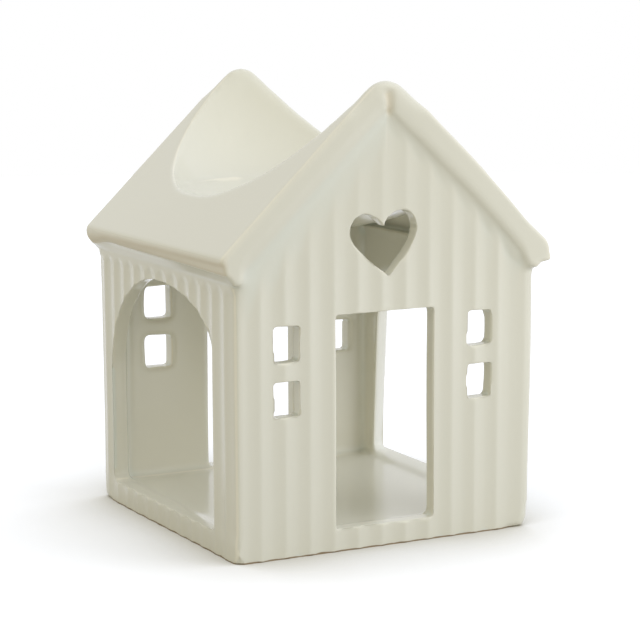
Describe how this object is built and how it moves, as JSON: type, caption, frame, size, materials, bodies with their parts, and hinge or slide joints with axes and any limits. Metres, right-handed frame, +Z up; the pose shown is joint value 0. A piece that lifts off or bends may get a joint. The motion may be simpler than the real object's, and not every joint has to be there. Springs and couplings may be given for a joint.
{
  "type": "house wax burner",
  "caption": "Glazed ceramic house with a gabled roof, fluted walls, cut-out door, windows, heart and side arches, and a round wax bowl sunk into the roof above a tea-light floor.",
  "frame": {"origin": "centre of the bounding box on the underside of the base", "axes": "+Z up, front of the house with its door towards -Y, +X to the right seen from the front"},
  "size_m": [0.112, 0.1048, 0.1402],
  "materials": {
    "glaze": "glossy off-white glaze, warm where it thins on edges, cool where it pools"
  },
  "bodies": {
    "root": {"base_slab": "glaze", "front_wall": "glaze", "back_wall": "glaze", "left_wall": "glaze", "right_wall": "glaze", "left_roof_slope": "glaze", "right_roof_slope": "glaze", "wax_bowl": "glaze"}
  },
  "joints": []
}
